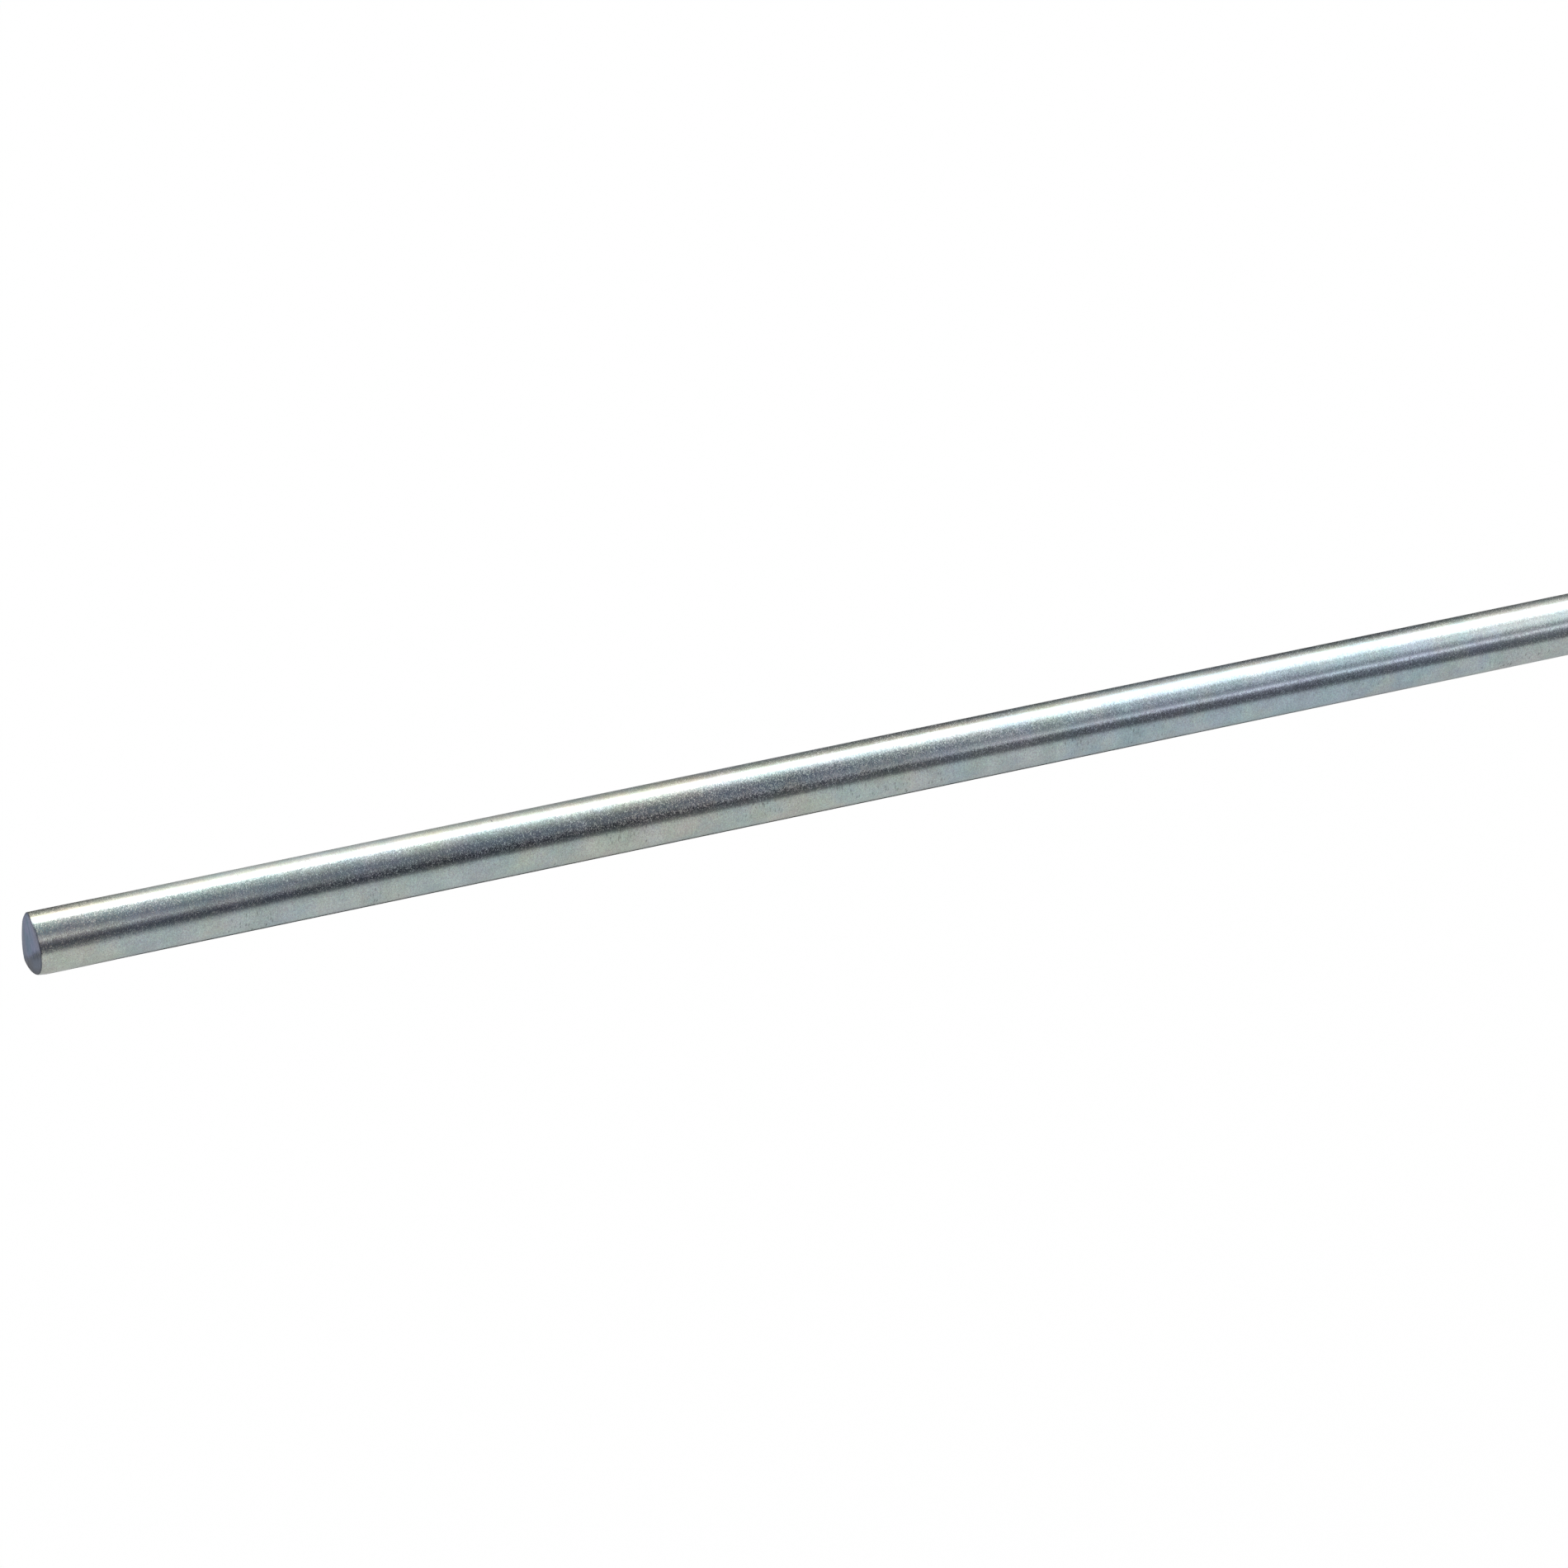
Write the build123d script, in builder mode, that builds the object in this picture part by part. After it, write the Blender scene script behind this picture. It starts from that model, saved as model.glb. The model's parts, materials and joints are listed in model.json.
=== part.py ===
"""Plain round steel rod: drawn bar, zinc plated, cropped by a blade at one end.

The bar lies along X. Its cropped end is at -X and its plain, square end at +X.
The origin is on the bar's axis, half-way along it. Millimetres and degrees.
"""
from build123d import *
from math import cos, radians, tan
import os

# Bar
bar_diameter = 8.0
bar_length = 1000.0  # from the middle of the cropped face to the plain end
plain_end_edge = 0.3  # rounding round the plain end

# Cropped end: the blade's path, turned about the bar from +Z towards +Y
blade_roll = 31.5

# Cropped end: how the grip has fattened the bar beside the cut
swell = 0.04  # growth in radius
swell_start = 14.0  # from the face, where the growth begins
swell_peak = 2.5  # from the face, where it is complete

# Cropped end: the torn face, which winds from one side of the bar to the other
torn_lean = 2.1
torn_twist = 5.0
torn_rim = 0.12  # rounding round its rim

# Cropped end: the burnished band, where the blade rubbed before the bar tore
band_depth = 2.15  # from the blade's side of the bar to the torn face
band_lean = 5.2
band_skew = 2.1

# Cropped end: the roll-over, where the blade drew its own side of the bar in
roll_over = 0.16  # at the face
roll_over_middle = 0.055  # half-way along it
roll_over_length = 1.3
roll_over_spread = 45  # round the bar, to each side of the blade's path

bar_radius = bar_diameter / 2
half_length = bar_length / 2
swollen_radius = bar_radius + swell
clear = bar_diameter  # how far the uncropped stock and the cutting solids reach

# The blade's frame: X along the bar from the face, Y the way the blade went
blade_path = Vector(0, 0, 1).rotate(Axis.X, -blade_roll)
across = Vector(1, 0, 0).cross(blade_path)
blade = Plane(origin=(-half_length, 0, 0), x_dir=(1, 0, 0), z_dir=across)


def beyond(slope):
    """Outline of all that lies beyond a line of this slope, in a plane of the blade."""
    Polygon(
        (slope * clear, clear),
        (-slope * clear, -clear),
        (-3 * clear, -clear),
        (-3 * clear, clear),
        align=None,
    )


with BuildPart() as rod:
    # Drawn bar, swollen towards the crop and running on past it
    with BuildSketch(blade):
        with BuildLine():
            Polyline(
                (swell_start, bar_radius),
                (bar_length, bar_radius),
                (bar_length, 0),
                (-clear, 0),
                (-clear, swollen_radius),
                (swell_peak, swollen_radius),
            )
            Spline(
                (swell_peak, swollen_radius),
                (swell_start, bar_radius),
                tangents=((1, 0), (1, 0)),
            )
        make_face()
    revolve(axis=Axis.X)
    fillet(rod.edges().sort_by(Axis.X)[-1], radius=plain_end_edge)

    # Torn face: ruled between a line on each side of the bar, leaning opposite ways
    wind = tan(radians(torn_twist)) * clear / bar_radius
    for side in (-1, 1):
        with BuildSketch(blade.offset(side * clear)):
            beyond(tan(radians(torn_lean)) - side * wind)
    loft(ruled=True, mode=Mode.SUBTRACT)

    # Burnished band, on the blade's side of the bar
    band_height = band_depth - bar_radius
    band_start = band_height * tan(radians(torn_lean))
    band = Plane(blade.location * Pos(band_start, band_height, 0) * Rot(0, band_skew, 0))
    with BuildSketch(band):
        beyond(-tan(radians(band_lean)))
    extrude(amount=clear, both=True, mode=Mode.SUBTRACT)

    # Rim of the torn face; the band keeps its sharp one
    torn_face = rod.faces().filter_by(GeomType.BSPLINE)[0]
    band_face = rod.faces().filter_by(GeomType.PLANE).sort_by(Axis.X)[0]
    fillet(torn_face.edges() - band_face.edges(), radius=torn_rim)

    # Roll-over: the rim is turned off about an axis set back from the blade's side
    set_back = roll_over / (1 - cos(radians(roll_over_spread)))
    full_radius = swollen_radius + set_back
    roll_centre = blade.from_local_coords((0, set_back, 0))
    with BuildSketch(Plane(roll_centre, x_dir=blade.x_dir, z_dir=blade.y_dir)):
        with BuildLine():
            rounding = ThreePointArc(
                (roll_over_length, full_radius),
                (roll_over_length / 2, full_radius - roll_over_middle),
                (0, full_radius - roll_over),
            )
            run_out = Line(rounding @ 1, rounding @ 1 + rounding % 1 * roll_over_length)
            Polyline(
                run_out @ 1,
                ((run_out @ 1).X, 2 * clear),
                (roll_over_length, 2 * clear),
                rounding @ 0,
            )
        make_face()
    revolve(axis=Axis(roll_centre, (1, 0, 0)), mode=Mode.SUBTRACT)

rod.part.label = "rod"

os.makedirs("parts", exist_ok=True)
export_step(rod.part, "parts/rod.step")
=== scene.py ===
"""Looks of a zinc-plated steel rod: its barrel and its two ends, in a plain pale studio."""

import json
import math

import bmesh
import bpy
from mathutils import Matrix, Vector, noise


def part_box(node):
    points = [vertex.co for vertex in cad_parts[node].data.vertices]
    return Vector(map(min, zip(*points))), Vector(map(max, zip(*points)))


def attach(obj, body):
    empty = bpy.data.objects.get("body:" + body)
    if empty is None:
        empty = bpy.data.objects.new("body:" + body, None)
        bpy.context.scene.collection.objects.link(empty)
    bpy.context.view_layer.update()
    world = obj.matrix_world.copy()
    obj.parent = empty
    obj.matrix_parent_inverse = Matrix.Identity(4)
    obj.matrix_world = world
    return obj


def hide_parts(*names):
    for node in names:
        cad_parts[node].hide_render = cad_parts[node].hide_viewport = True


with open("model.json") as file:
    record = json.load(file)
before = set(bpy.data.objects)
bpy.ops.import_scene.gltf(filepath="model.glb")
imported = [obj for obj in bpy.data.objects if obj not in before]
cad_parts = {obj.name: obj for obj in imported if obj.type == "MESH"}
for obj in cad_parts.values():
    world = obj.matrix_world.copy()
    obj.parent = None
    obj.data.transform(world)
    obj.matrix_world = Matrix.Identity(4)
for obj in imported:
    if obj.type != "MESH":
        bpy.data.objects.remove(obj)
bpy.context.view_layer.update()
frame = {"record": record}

MM = 0.001

# The bar, from the frame
rod_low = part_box("rod")[0]
shank = next(m for m in frame["record"]["mounts"] if m["name"] == "shank")
plain_end = next(m for m in frame["record"]["mounts"] if m["name"] == "plain_end")
bar_radius = shank["dims"]["r_mm"] * MM
plain_x = plain_end["pos_m"][0]
cropped_x = -plain_x
plain_end_edge = 0.3 * MM

# Cropped end, as the solid has it: the blade's path and how it reshaped the bar
blade_roll = math.radians(31.5)
swell = 0.04 * MM
swell_peak = 2.5 * MM
swell_start = 14.0 * MM
roll_over = 0.16 * MM
roll_over_length = 1.3 * MM
roll_over_spread = math.radians(45)
roll_over_straight = 0.35       # share of it that tapers evenly, and the rest curves
torn_rim = 0.12 * MM
torn_lean = math.tan(math.radians(2.1))
torn_twist = math.tan(math.radians(5.0))
band_depth = 2.15 * MM
band_lean = math.tan(math.radians(5.2))
band_skew = math.tan(math.radians(2.1))
band_start = band_depth - bar_radius     # height at which the burnished band gives way to the torn face
crease = 0.02 * MM              # how softly the two meet

# Finer relief of the cropped end. Heights, sides and distances out are in bar radii, but for those in MM
tear_relief = 0.05 * MM
tear_width = 0.45 * MM
tear_length = 1.9 * MM
tear_seed, tear_smoothness, tear_finer, tear_octaves = 7.3, 0.8, 2.2, 3
tears_on_band = 0.15            # share of the relief that the burnished band has
tears_from, tears_whole = -0.2 * MM, 0.5 * MM      # heights over the band's edge
relief_until, relief_gone = 0.80, 0.97             # it dies out short of the rim
ledge_depth = 0.07 * MM
ledge_half_height = 0.11
ledge_from, ledge_whole = -0.3, 0.6                # it is deepest towards the near side
dulled_edge = 0.14 * MM
dulled_from = 0.70

# How far behind the square cut the end's forms reach into the mesh
reshaped_length = 6 * MM
face_whole, face_gone = 0.3 * MM, 5 * MM
relief_whole_to, relief_gone_by = 0.1 * MM, 1.2 * MM

up_blade = Vector((0, math.sin(blade_roll), math.cos(blade_roll)))
across_blade = Vector((1, 0, 0)).cross(up_blade)

# How finely the mesh is cut
FACE_RINGS = 40
RIM_STEPS = 5
RESHAPED_STEP = 0.12 * MM
SWELL_STEPS = 12
BARREL_STEPS = 60
PLAIN_EDGE_STEPS = 6
PLAIN_FACE_RINGS = 6
ROUND_STEPS = 256
SAME_PLACE = 1e-7

BARREL, CROPPED_FACE, PLAIN_FACE = range(3)
# Faces this near to an end's plane have that end's finish
cropped_finish_reach = 0.5 * torn_rim
plain_finish_reach = 0.1 * plain_end_edge


# ---------------------------------------------------------------- mesh

def smooth_step(value, low, high):
    """Rises smoothly from 0 at the low value to 1 at the high one."""
    t = min(1.0, max(0.0, (value - low) / (high - low)))
    return t * t * (3 - 2 * t)


def quarter_turn(steps):
    """Even angles over a quarter turn, without its start."""
    return [step / steps * math.pi / 2 for step in range(1, steps + 1)]


def torn_face_depth(up, across):
    """How far in the ruled, winding torn face lies at this height and side."""
    return up * (torn_lean - torn_twist * across / bar_radius)


def band_depth_at(up, across):
    """How far in the burnished band's plane lies at this height and side."""
    return band_start * torn_lean - (up - band_start) * band_lean + across * band_skew


def face_depth(up, across):
    """The cropped face: whichever of the torn face and the band lies further in."""
    torn = torn_face_depth(up, across)
    band = band_depth_at(up, across)
    return (torn + band + math.sqrt((torn - band) ** 2 + crease ** 2)) / 2


def face_relief(up, across, radius):
    """Tears that run with the blade, the ledge where the tearing began, and the last corner, dulled."""
    height, side = up / bar_radius, across / bar_radius
    inside = 1 - smooth_step(radius / bar_radius, relief_until, relief_gone)
    torn = smooth_step(up, band_start + tears_from, band_start + tears_whole)
    where = Vector((across / tear_width, up / tear_length, tear_seed))
    tear = noise.fractal(where, tear_smoothness, tear_finer, tear_octaves)
    tear = (1 + max(-1.0, min(1.0, tear))) / 2
    relief = tear_relief * (tears_on_band + (1 - tears_on_band) * torn) * tear * inside
    below = (height - band_start / bar_radius) / ledge_half_height
    relief += ledge_depth * math.exp(-below * below) * smooth_step(side, ledge_from, ledge_whole) * inside
    return relief + dulled_edge * smooth_step(height, dulled_from, 1.0) ** 2


def barrel_profile():
    """Distances along and out from the axis, from the cropped face's middle to the plain end's."""
    length = plain_x - cropped_x
    swollen = bar_radius + swell
    flat = swollen - torn_rim
    points = [(0.0, flat * ring / FACE_RINGS) for ring in range(FACE_RINGS + 1)]
    for angle in quarter_turn(RIM_STEPS):
        points.append((torn_rim * (1 - math.cos(angle)), flat + torn_rim * math.sin(angle)))
    x = torn_rim
    while x < swell_peak:
        x += RESHAPED_STEP
        points.append((x, swollen))
    for step in range(1, SWELL_STEPS + 1):
        t = step / SWELL_STEPS
        points.append((swell_peak + (swell_start - swell_peak) * t,
                       bar_radius + swell * (1 - smooth_step(t, 0, 1))))
    straight = length - plain_end_edge - swell_start
    for step in range(1, BARREL_STEPS + 1):
        points.append((swell_start + straight * step / BARREL_STEPS, bar_radius))
    for angle in quarter_turn(PLAIN_EDGE_STEPS):
        points.append((length - plain_end_edge * (1 - math.sin(angle)),
                       bar_radius - plain_end_edge * (1 - math.cos(angle))))
    for ring in range(PLAIN_FACE_RINGS - 1, -1, -1):
        points.append((length, (bar_radius - plain_end_edge) * ring / PLAIN_FACE_RINGS))
    return points


def shape_cropped_end(bm):
    """Moves the end's vertices from a square cut to the cropped form."""
    spread_edge = math.cos(roll_over_spread)
    for v in bm.verts:
        inward = v.co.x - cropped_x
        if inward > reshaped_length:
            continue
        up = v.co.dot(up_blade)
        across = v.co.dot(across_blade)
        radius = math.hypot(up, across)
        if radius > SAME_PLACE:
            angle = math.acos(max(-1, min(1, -up / radius)))
            spread = max(0.0, (math.cos(angle) - spread_edge) / (1 - spread_edge))
            along = max(0.0, 1 - inward / roll_over_length)
            drop = roll_over * spread * (roll_over_straight * along + (1 - roll_over_straight) * along ** 2)
            scale = 1 - drop / radius * smooth_step(radius / bar_radius, 0.0, 1.0)
            v.co.y *= scale
            v.co.z *= scale
        fade = 1 - smooth_step(inward, face_whole, face_gone)
        v.co.x += face_depth(up, across) * fade
        fade = 1 - smooth_step(inward, relief_whole_to, relief_gone_by)
        v.co.x += face_relief(up, across, radius) * fade


def finish_mesh(bm, name):
    """The piece or stage object that this mesh makes, in the scene."""
    mesh = bpy.data.meshes.new(name)
    bm.to_mesh(mesh)
    bm.free()
    made = bpy.data.objects.new(name, mesh)
    bpy.context.collection.objects.link(made)
    return made


def make_rod():
    """The whole bar: its profile spun round the axis, then shaped at the cropped end."""
    bm = bmesh.new()
    previous = None
    profile = []
    for along, out in barrel_profile():
        v = bm.verts.new((cropped_x + along, 0, out))
        profile.append(v)
        if previous is not None:
            profile.append(bm.edges.new((previous, v)))
        previous = v
    bmesh.ops.spin(bm, geom=profile, cent=(0, 0, 0), axis=(1, 0, 0), angle=2 * math.pi,
                   steps=ROUND_STEPS, use_merge=True)
    bmesh.ops.remove_doubles(bm, verts=bm.verts, dist=SAME_PLACE)
    for face in bm.faces:
        middle = face.calc_center_median()
        if middle.x < cropped_x + cropped_finish_reach:
            face.material_index = CROPPED_FACE
        elif middle.x > plain_x - plain_finish_reach:
            face.material_index = PLAIN_FACE
        else:
            face.material_index = BARREL
        face.smooth = True
    shape_cropped_end(bm)
    bmesh.ops.recalc_face_normals(bm, faces=bm.faces)
    return finish_mesh(bm, "zinc_rod")


# ---------------------------------------------------------------- node helpers

def join(tree, value, socket):
    """Links an output to this socket, or sets a plain value on it."""
    if isinstance(value, bpy.types.NodeSocket):
        tree.links.new(value, socket)
    else:
        socket.default_value = value


def add(tree, kind, settings=None, **inputs):
    """A node of this kind, with its settings made and its sockets set or joined by name."""
    node = tree.nodes.new("ShaderNode" + kind)
    for name, value in (settings or {}).items():
        setattr(node, name, value)
    for name, value in inputs.items():
        join(tree, value, node.inputs[name.replace("_", " ")])
    return node


def maths(tree, operation, *values):
    """A sum on single values."""
    node = add(tree, "Math", {"operation": operation})
    for value, socket in zip(values, node.inputs):
        join(tree, value, socket)
    return node.outputs[0]


def product(tree, first, *others):
    """These single values multiplied together."""
    for other in others:
        first = maths(tree, "MULTIPLY", first, other)
    return first


def lessened(tree, mask, share):
    """One, less this share where the mask is whole."""
    return maths(tree, "SUBTRACT", 1.0, maths(tree, "MULTIPLY", mask, share))


def vector_maths(tree, operation, *values):
    """A sum on vectors or colours; a length or a dot product comes out as a single value."""
    node = add(tree, "VectorMath", {"operation": operation})
    for name, value in zip(("Vector", "Vector_001", "Vector_002"), values):
        socket = next(s for s in node.inputs if s.identifier == name)
        join(tree, value, socket)
    return node.outputs["Value" if operation in ("DOT_PRODUCT", "LENGTH") else "Vector"]


def scaled(tree, vector, factor):
    """A vector or colour times a single value."""
    node = add(tree, "VectorMath", {"operation": "SCALE"})
    join(tree, vector, node.inputs[0])
    join(tree, factor, node.inputs["Scale"])
    return node.outputs[0]


def parts(tree, vector):
    """The X, Y and Z of a vector."""
    return add(tree, "SeparateXYZ", Vector=vector).outputs


def alike(tree, value):
    """A vector or colour whose three parts are all this value."""
    return add(tree, "CombineXYZ", X=value, Y=value, Z=value).outputs[0]


def between(tree, value, low, high, to_low=0.0, to_high=1.0, smooth=True):
    """Turns the stretch from low to high into another, by default 0 to 1, and holds it past either end."""
    node = add(tree, "MapRange", {"interpolation_type": "SMOOTHSTEP" if smooth else "LINEAR"})
    for name, given in (("Value", value), ("From Min", low), ("From Max", high),
                        ("To Min", to_low), ("To Max", to_high)):
        join(tree, given, node.inputs[name])
    return node.outputs["Result"]


def blend(tree, factor, first, second, mode="MIX"):
    """The second colour over the first, by this factor."""
    node = add(tree, "Mix", {"data_type": "RGBA", "blend_type": mode, "clamp_factor": True})
    sockets = [s for s in node.inputs if s.type == "RGBA"]
    join(tree, factor, node.inputs[0])
    join(tree, first, sockets[0])
    join(tree, second, sockets[1])
    return next(s for s in node.outputs if s.type == "RGBA")


def ramp(tree, factor, stops):
    """Colours by where the factor stands between stops."""
    node = tree.nodes.new("ShaderNodeValToRGB")
    join(tree, factor, node.inputs[0])
    elements = node.color_ramp.elements
    while len(elements) < len(stops):
        elements.new(0.5)
    for element, (position, colour) in zip(elements, stops):
        element.position = position
        element.color = (*colour, 1)
    return node.outputs["Color"]


def clouds(tree, where, **settings):
    """Soft noise, mostly between 0.25 and 0.75."""
    return add(tree, "TexNoise", {"noise_dimensions": "3D"}, Vector=where, **settings).outputs[0]


def on_piece(tree):
    """The place on the piece, in metres."""
    return add(tree, "TexCoord").outputs["Object"]


def new_group(name, inputs, outputs):
    """A shader node group with named sockets; gives back its tree, its inputs and its output node."""
    group = bpy.data.node_groups.new(name, "ShaderNodeTree")
    for socket_name, kind, default in inputs:
        socket = group.interface.new_socket(socket_name, in_out="INPUT", socket_type="NodeSocket" + kind)
        if default is not None:
            socket.default_value = default
    for socket_name, kind in outputs:
        group.interface.new_socket(socket_name, in_out="OUTPUT", socket_type="NodeSocket" + kind)
    return group, group.nodes.new("NodeGroupInput").outputs, group.nodes.new("NodeGroupOutput").inputs


def place(tree, group, **inputs):
    """A group placed in a material with its own values; gives back its outputs."""
    node = tree.nodes.new("ShaderNodeGroup")
    node.node_tree = group
    for name, value in inputs.items():
        join(tree, value, node.inputs[name.replace("_", " ")])
    return node.outputs


def metal(name, outline=1.0):
    """A metal material, whose reflection keeps this much of its light towards the outline."""
    mat = bpy.data.materials.new(name)
    mat.use_nodes = True
    bsdf = mat.node_tree.nodes["Principled BSDF"]
    bsdf.inputs["Metallic"].default_value = 1
    bsdf.inputs["Specular Tint"].default_value = (outline, outline, outline, 1)
    return mat, mat.node_tree, bsdf.inputs


def studio_material(name):
    """A material for the studio, with nothing in it yet; gives back where its shader ends."""
    mat = bpy.data.materials.new(name)
    mat.use_nodes = True
    tree = mat.node_tree
    tree.nodes.clear()
    return mat, tree, tree.nodes.new("ShaderNodeOutputMaterial").inputs["Surface"]


# ---------------------------------------------------------------- finishes

# Patches and fine lines are noise, and this much of its range becomes their whole range
PATCH_LOW, PATCH_HIGH = 0.3, 0.7
LINE_LOW, LINE_HIGH = 0.25, 0.75
PATCH_NOISE = {"Detail": 3.0, "Roughness": 0.6}
LINE_NOISE = {"Detail": 2.0}

# Zinc crystals
CRYSTAL = 0.095 * MM
DRAWN_OUT = 1.5                 # round the bar
LEAN = 0.045
CRYSTAL_ROUNDNESS = 0.35

# The plating's colours, which drift along the bar
ZINC_PLAIN = (0.336, 0.387, 0.387, 1)
ZINC_WARM = (0.378, 0.402, 0.366, 1)
ZINC_COOL = (0.288, 0.358, 0.397, 1)
# Each drift is a wave: its length, how far a crest lies from the cropped end, and its height
DRIFTS = ((130 * MM, 30 * MM, 0.5), (420 * MM, 205 * MM, 0.5))
FULL_DRIFT = 1.1                # with this much it is all cool, and with minus this much all warm
# Blotches: how wide, how strong, and which part of the noise they take
TINT_BLOTCH = (7 * MM, 0.6, 0.0)
ROSY_BLOTCH = (5 * MM, 1.0, 3.1)
PALE_BLOTCH = (4 * MM, 0.075, 5.7)
ROSY = (0.035, -0.02, 0.01)

# Places where the plating was knocked: how far from the cropped end, how high up the near side in bar radii,
# and half how long
KNOCKS = (
    (28 * MM, -0.72, 5 * MM), (45 * MM, -0.82, 3 * MM), (78 * MM, -0.60, 6 * MM), (98 * MM, -0.52, 5 * MM),
    (109 * MM, -0.45, 5 * MM), (118 * MM, -0.70, 8 * MM), (141 * MM, -0.60, 3 * MM),
    (151 * MM, -0.64, 4 * MM), (182 * MM, -0.56, 4 * MM), (205 * MM, -0.70, 6 * MM))
KNOCK_REACH_ROUND = 2.4 * MM
KNOCK_CORE = 0.4                # share of its reach within which a knock is at its full strength
# Dashes are also a little commoner in some loose patches of this width
LOOSE_WIDTH = 11 * MM
LOOSE_LOW, LOOSE_HIGH, LOOSE_SHARE = 0.60, 0.78, 0.35
DASH_APART = 0.36 * MM
DASH_DRAWN_OUT = 3.0
DASH_EDGE, DASH_CORE = 0.42, 0.18
FAINTEST_DASH = 0.25
LINE_APART, LINE_LENGTH = 0.15 * MM, 2.6 * MM


def crystal_group():
    """Fine zinc crystals, drawn out round the bar: each leans and tints its own way."""
    group, given, out = new_group(
        "zinc_crystals",
        [("Vector", "Vector", None), ("Crystal Size", "Float", 0.12 * MM), ("Drawn Out", "Float", 1.8),
         ("Lean", "Float", 0.06)],
        [("Normal", "Vector"), ("Crystal", "Float"), ("Other", "Float"), ("Tint", "Color")])
    short = maths(group, "DIVIDE", 1.0, given["Crystal Size"])
    long = maths(group, "DIVIDE", short, given["Drawn Out"])
    stretch = add(group, "CombineXYZ", X=short, Y=long, Z=long).outputs[0]
    cells = add(group, "TexVoronoi", {"voronoi_dimensions": "3D", "feature": "SMOOTH_F1"},
                Vector=vector_maths(group, "MULTIPLY", given["Vector"], stretch),
                Scale=1.0, Smoothness=CRYSTAL_ROUNDNESS, Randomness=1.0)
    own = vector_maths(group, "SUBTRACT", cells.outputs["Color"], (0.5, 0.5, 0.5))
    normal = add(group, "NewGeometry").outputs["Normal"]
    leaning = vector_maths(group, "ADD", normal, scaled(group, own, given["Lean"]))
    join(group, vector_maths(group, "NORMALIZE", leaning), out["Normal"])
    values = parts(group, cells.outputs["Color"])
    join(group, values["X"], out["Crystal"])
    join(group, values["Y"], out["Other"])
    join(group, cells.outputs["Color"], out["Tint"])
    return group


def tint_group():
    """The plating's colour: slow drifts along the bar from beige to blue, and small blotches."""
    group, given, out = new_group(
        "plating_tint",
        [("Vector", "Vector", None), ("Plain", "Color", ZINC_PLAIN), ("Warm", "Color", ZINC_WARM),
         ("Cool", "Color", ZINC_COOL), ("Blotches", "Float", 1.0), ("Warmth", "Float", 0.0)],
        [("Color", "Color")])
    along = parts(group, given["Vector"])["X"]

    def wave(length, crest, height):
        """A drift of this height, with a crest this far from the cropped end."""
        from_crest = maths(group, "SUBTRACT", along, cropped_x + crest)
        turns = maths(group, "DIVIDE", from_crest, length / (2 * math.pi))
        return maths(group, "MULTIPLY", maths(group, "COSINE", turns), height)

    def blotch(width, height, seed):
        """Soft-edged blotches, between -height and height."""
        moved = vector_maths(group, "ADD", given["Vector"], (seed, 0, 0))
        patch = clouds(group, moved, Scale=1 / width, **PATCH_NOISE)
        patch = between(group, patch, PATCH_LOW, PATCH_HIGH, -height, height)
        return maths(group, "MULTIPLY", patch, given["Blotches"])

    short_drift, long_drift = (wave(*drift) for drift in DRIFTS)
    drift = maths(group, "ADD", short_drift, long_drift)
    drift = maths(group, "ADD", drift, blotch(*TINT_BLOTCH))
    drift = maths(group, "SUBTRACT", drift, given["Warmth"])
    cool = blend(group, between(group, drift, 0.0, FULL_DRIFT), given["Plain"], given["Cool"])
    colour = blend(group, between(group, drift, 0.0, -FULL_DRIFT), cool, given["Warm"])
    rosy = scaled(group, ROSY, blotch(*ROSY_BLOTCH))
    pale = alike(group, blotch(*PALE_BLOTCH))
    swing = vector_maths(group, "ADD", vector_maths(group, "ADD", rosy, (1, 1, 1)), pale)
    join(group, vector_maths(group, "MULTIPLY", colour, swing), out["Color"])
    return group


def cut_group():
    """A point's height, side and distance out at the cropped end, in bar radii, and how far behind it is."""
    group, given, out = new_group(
        "cropped_end_place", [("Vector", "Vector", None)],
        [("Height", "Float"), ("Side", "Float"), ("Out", "Float"), ("Behind", "Float")])
    up, side = (maths(group, "DIVIDE", vector_maths(group, "DOT_PRODUCT", given["Vector"], way), bar_radius)
                for way in (up_blade, across_blade))
    start = band_start / bar_radius
    # the same two forms as the mesh: the winding torn face and the band's plane
    torn = maths(group, "SUBTRACT", torn_lean, maths(group, "MULTIPLY", side, torn_twist))
    torn = maths(group, "MULTIPLY", up, torn)
    over_start = maths(group, "SUBTRACT", up, start)
    band = maths(group, "SUBTRACT", start * torn_lean, maths(group, "MULTIPLY", over_start, band_lean))
    band = maths(group, "ADD", band, maths(group, "MULTIPLY", side, band_skew))
    face = maths(group, "MULTIPLY", maths(group, "MAXIMUM", torn, band), bar_radius)
    along = maths(group, "SUBTRACT", parts(group, given["Vector"])["X"], cropped_x)
    squares = maths(group, "ADD", product(group, up, up), product(group, side, side))
    join(group, up, out["Height"])
    join(group, side, out["Side"])
    join(group, maths(group, "SQRT", squares), out["Out"])
    join(group, maths(group, "SUBTRACT", along, face), out["Behind"])
    return group


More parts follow.
